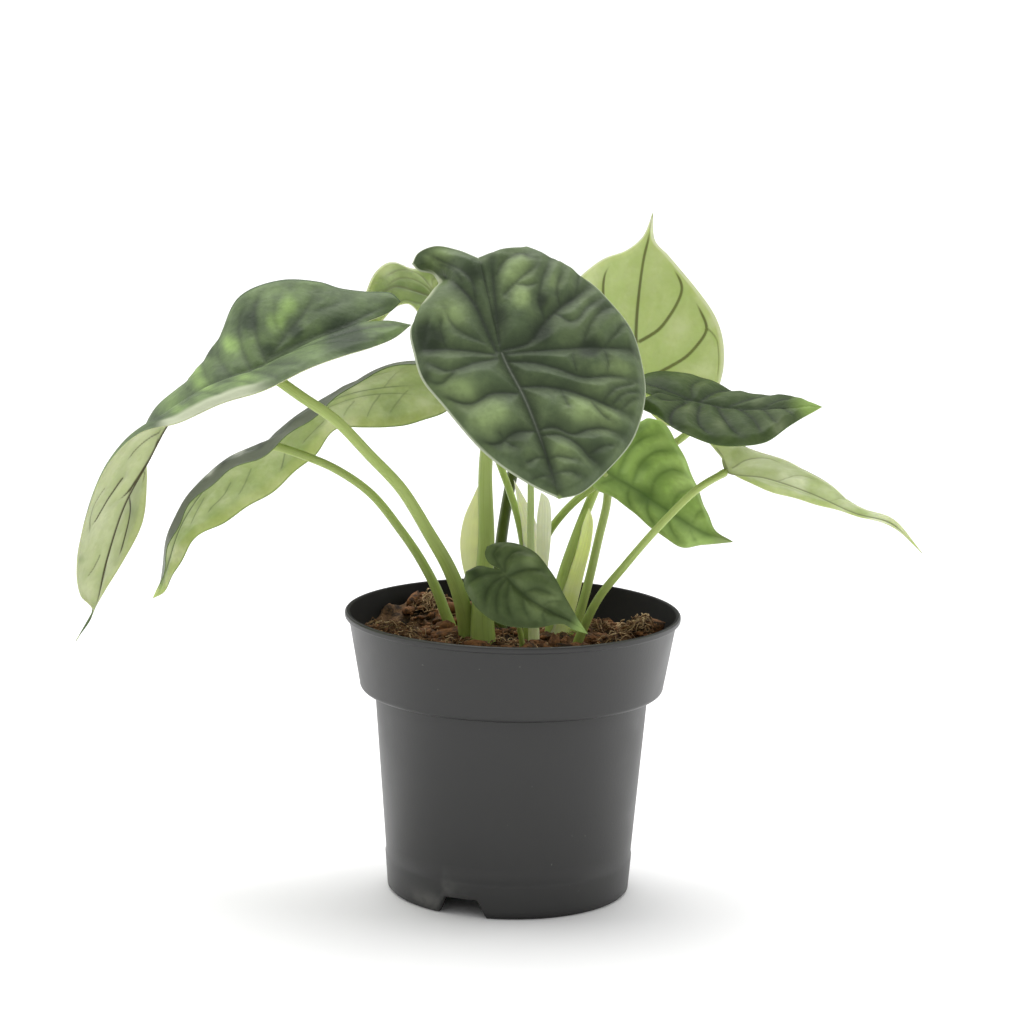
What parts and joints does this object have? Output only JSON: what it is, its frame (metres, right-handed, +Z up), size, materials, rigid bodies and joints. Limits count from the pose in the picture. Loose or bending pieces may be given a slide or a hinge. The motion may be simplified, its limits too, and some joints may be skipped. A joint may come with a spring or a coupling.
{
  "type": "potted dragon scale alocasia",
  "caption": "House plant with quilted shield-shaped leaves on arching stalks, growing in a plain round nursery pot with a deep collar.",
  "frame": {"origin": "on the ground, in the middle of the footprint of plant and pot together; the pot's axis stands 5 mm to +X of it", "axes": "+Z up along the pot's axis; the plant is seen best from -Y, with its longest leaves reaching to -X"},
  "size_m": [0.3018, 0.1204, 0.2398],
  "materials": {
    "pot_plastic": "satin",
    "potting_mix": "matte",
    "rhizome": "matte",
    "leaf_blade": "satin",
    "young_blade": "satin",
    "leaf_stalk": "satin",
    "sheath": "satin"
  },
  "bodies": {
    "root": {"pot": "pot_plastic", "potting_mix": "potting_mix", "rhizome": "rhizome", "blade_front": "leaf_blade", "blade_left_upper": "leaf_blade", "blade_left_lower": "leaf_blade", "blade_upright": "leaf_blade", "blade_right_upper": "leaf_blade", "blade_right_middle": "young_blade", "blade_right_far": "leaf_blade", "blade_small_front": "leaf_blade", "blade_back": "leaf_blade", "blade_back_left": "leaf_blade", "stalk_front": "leaf_stalk", "stalk_left_upper": "leaf_stalk", "stalk_left_lower": "leaf_stalk", "stalk_upright": "leaf_stalk", "stalk_right_upper": "leaf_stalk", "stalk_right_middle": "leaf_stalk", "stalk_right_far": "leaf_stalk", "stalk_small_front": "leaf_stalk", "stalk_back": "leaf_stalk", "stalk_back_left": "leaf_stalk", "new_leaf": "leaf_stalk", "sheath_front": "sheath", "sheath_back_left": "sheath", "sheath_new_leaf": "sheath", "sheath_upright": "sheath"}
  },
  "joints": []
}
